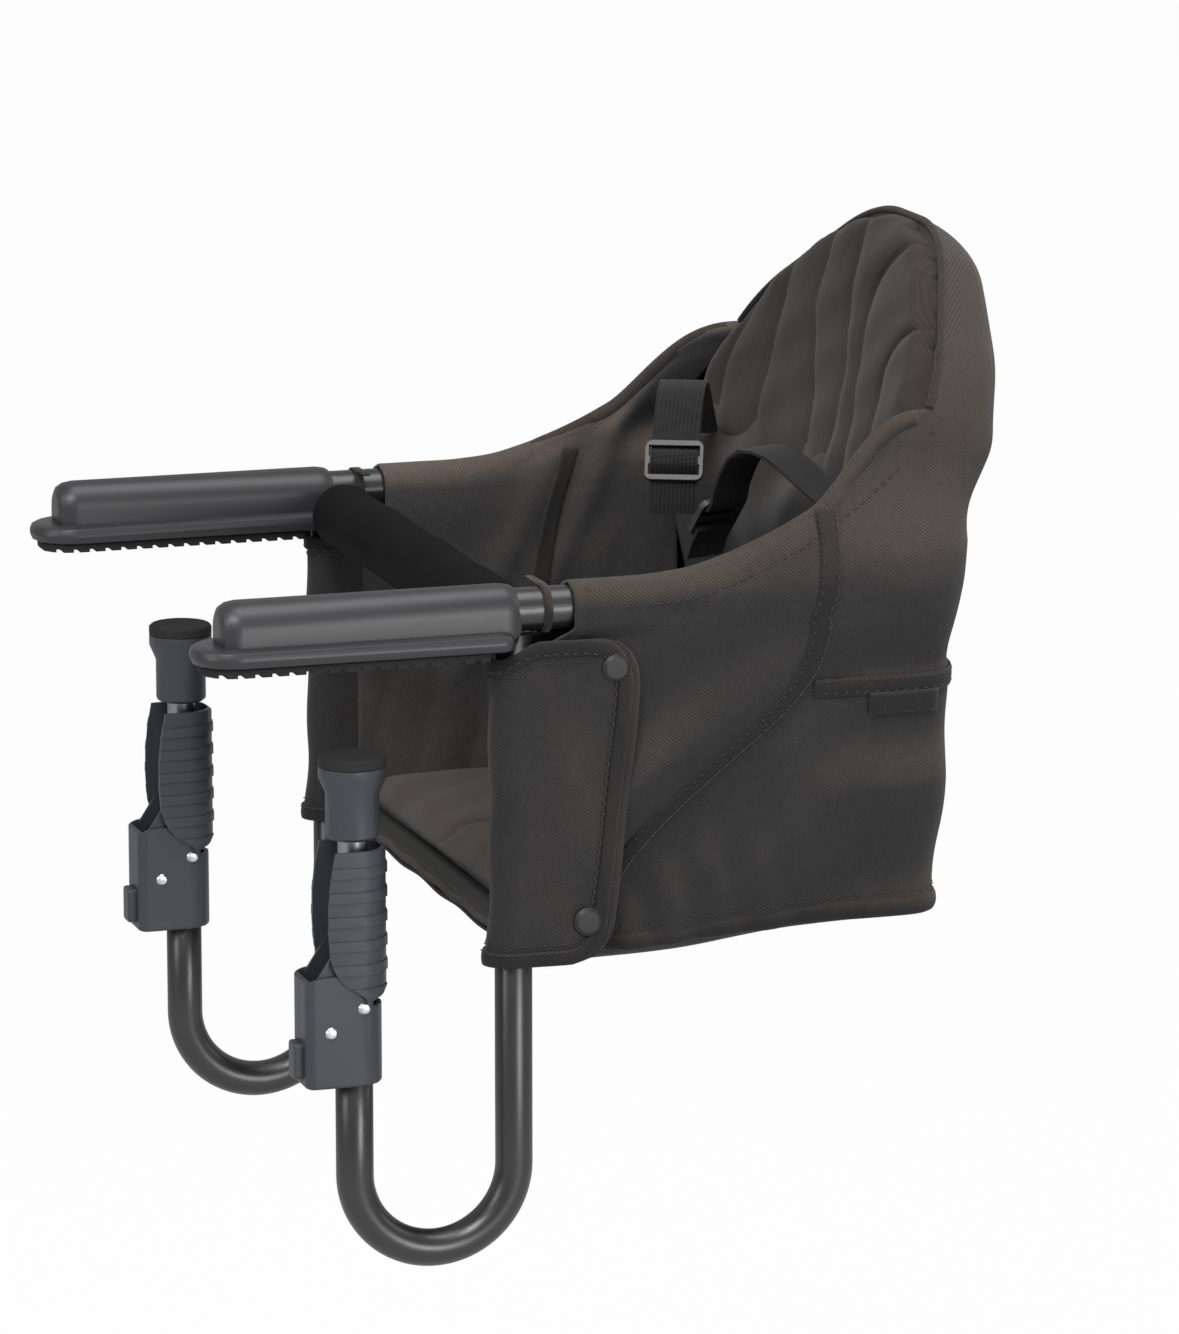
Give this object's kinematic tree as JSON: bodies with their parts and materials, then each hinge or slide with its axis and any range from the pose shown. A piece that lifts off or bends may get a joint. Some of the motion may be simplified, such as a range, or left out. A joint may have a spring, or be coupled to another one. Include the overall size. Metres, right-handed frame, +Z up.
{
  "type": "hook-on table chair",
  "caption": "Child's fabric seat on a steel tube frame that hooks over a table edge, with lever clamps under the table, a folding backrest and a waist harness.",
  "frame": {"origin": "on the table edge, in the plane of the table top, midway between the arms", "axes": "+Z up, -Y over the table, +Y behind the edge where the seat hangs, +X the sitter's left"},
  "size_m": [0.38, 0.4606, 0.497],
  "materials": {
    "tube_paint": "black semi-gloss powder coat on steel tube",
    "sleeve_foam": "matte black closed-cell foam",
    "cover_plastic": "near-black satin moulding with a fine grain",
    "pad_rubber": "black ribbed grip rubber",
    "clamp_plastic": "dark blue-grey satin moulding",
    "bright_steel": "bright plated steel",
    "plunger_steel": "plain drawn steel",
    "charcoal_twill": "charcoal twill weave",
    "dark_twill": "charcoal twill weave, darker",
    "webbing": "black ribbed webbing",
    "slider_plastic": "dark grey-brown moulding",
    "board_plastic": "grey board"
  },
  "bodies": {
    "frame": {"crossbar_tube": "tube_paint", "side_rail_left": "tube_paint", "side_rail_right": "tube_paint", "hook_tube_left": "tube_paint", "hook_tube_right": "tube_paint", "snap_upper_left": "tube_paint", "snap_upper_right": "tube_paint", "snap_lower_left": "tube_paint", "snap_lower_right": "tube_paint", "crossbar_foam": "sleeve_foam", "arm_cover_left": "cover_plastic", "arm_cover_right": "cover_plastic", "arm_pad_left": "pad_rubber", "arm_pad_right": "pad_rubber", "clamp_shell_outer_left": "clamp_plastic", "clamp_shell_outer_right": "clamp_plastic", "clamp_shell_inner_left": "clamp_plastic", "clamp_shell_inner_right": "clamp_plastic", "pivot_rivet_left": "bright_steel", "pivot_rivet_right": "bright_steel", "tube_rivet_left": "bright_steel", "tube_rivet_right": "bright_steel", "hinge_pin_left": "bright_steel", "hinge_pin_right": "bright_steel", "seat_pad": "charcoal_twill", "side_panel_left": "charcoal_twill", "side_panel_right": "charcoal_twill", "side_wing_left": "charcoal_twill", "side_wing_right": "charcoal_twill", "leg_flap_left": "charcoal_twill", "leg_flap_right": "charcoal_twill", "tie_band_left": "charcoal_twill", "tie_band_right": "charcoal_twill", "rear_panel": "dark_twill", "rear_pocket": "dark_twill", "seat_sling": "dark_twill", "crotch_strap": "webbing", "harness_buckle": "slider_plastic", "seat_board": "board_plastic"},
    "backrest": {"back_hoop": "tube_paint", "back_core": "dark_twill", "back_pad": "charcoal_twill", "waist_strap_left": "webbing", "waist_strap_right": "webbing", "strap_slider_left": "slider_plastic", "strap_slider_right": "slider_plastic"},
    "lever_left": {"clamp_lever_left": "clamp_plastic"},
    "plunger_left": {"plunger_left": "plunger_steel", "foot_cup_left": "clamp_plastic", "foot_pad_left": "pad_rubber"},
    "button_left": {"release_button_left": "clamp_plastic"},
    "lever_right": {"clamp_lever_right": "clamp_plastic"},
    "plunger_right": {"plunger_right": "plunger_steel", "foot_cup_right": "clamp_plastic", "foot_pad_right": "pad_rubber"},
    "button_right": {"release_button_right": "clamp_plastic"}
  },
  "joints": [
    {"name": "lever_swing_left", "type": "hinge", "parent": "frame", "child": "lever_left", "pos_m": [0.168, -0.0865, -0.184], "axis": [-1, 0, 0], "range_deg": [0, 42]},
    {"name": "plunger_slide_left", "type": "slide", "parent": "frame", "child": "plunger_left", "axis": [0, 0, -1], "range_m": [0, 0.012]},
    {"name": "button_press_left", "type": "slide", "parent": "frame", "child": "button_left", "axis": [0, 1, 0], "range_m": [0, 0.003], "stiffness_N_per_m": 300, "springref_m": -0.002},
    {"name": "lever_swing_right", "type": "hinge", "parent": "frame", "child": "lever_right", "pos_m": [-0.168, -0.0865, -0.184], "axis": [-1, 0, 0], "range_deg": [0, 42]},
    {"name": "plunger_slide_right", "type": "slide", "parent": "frame", "child": "plunger_right", "axis": [0, 0, -1], "range_m": [0, 0.012]},
    {"name": "button_press_right", "type": "slide", "parent": "frame", "child": "button_right", "axis": [0, 1, 0], "range_m": [0, 0.003], "stiffness_N_per_m": 300, "springref_m": -0.002},
    {"name": "backrest_fold", "type": "hinge", "parent": "frame", "child": "backrest", "pos_m": [0, 0.222, 0.022], "axis": [1, 0, 0], "range_deg": [0, 70]}
  ],
  "couplings": [
    {"joint": "plunger_slide_left", "follows": "lever_swing_left", "m_per_rad": 0.016368},
    {"joint": "plunger_slide_right", "follows": "lever_swing_right", "m_per_rad": 0.016368}
  ]
}
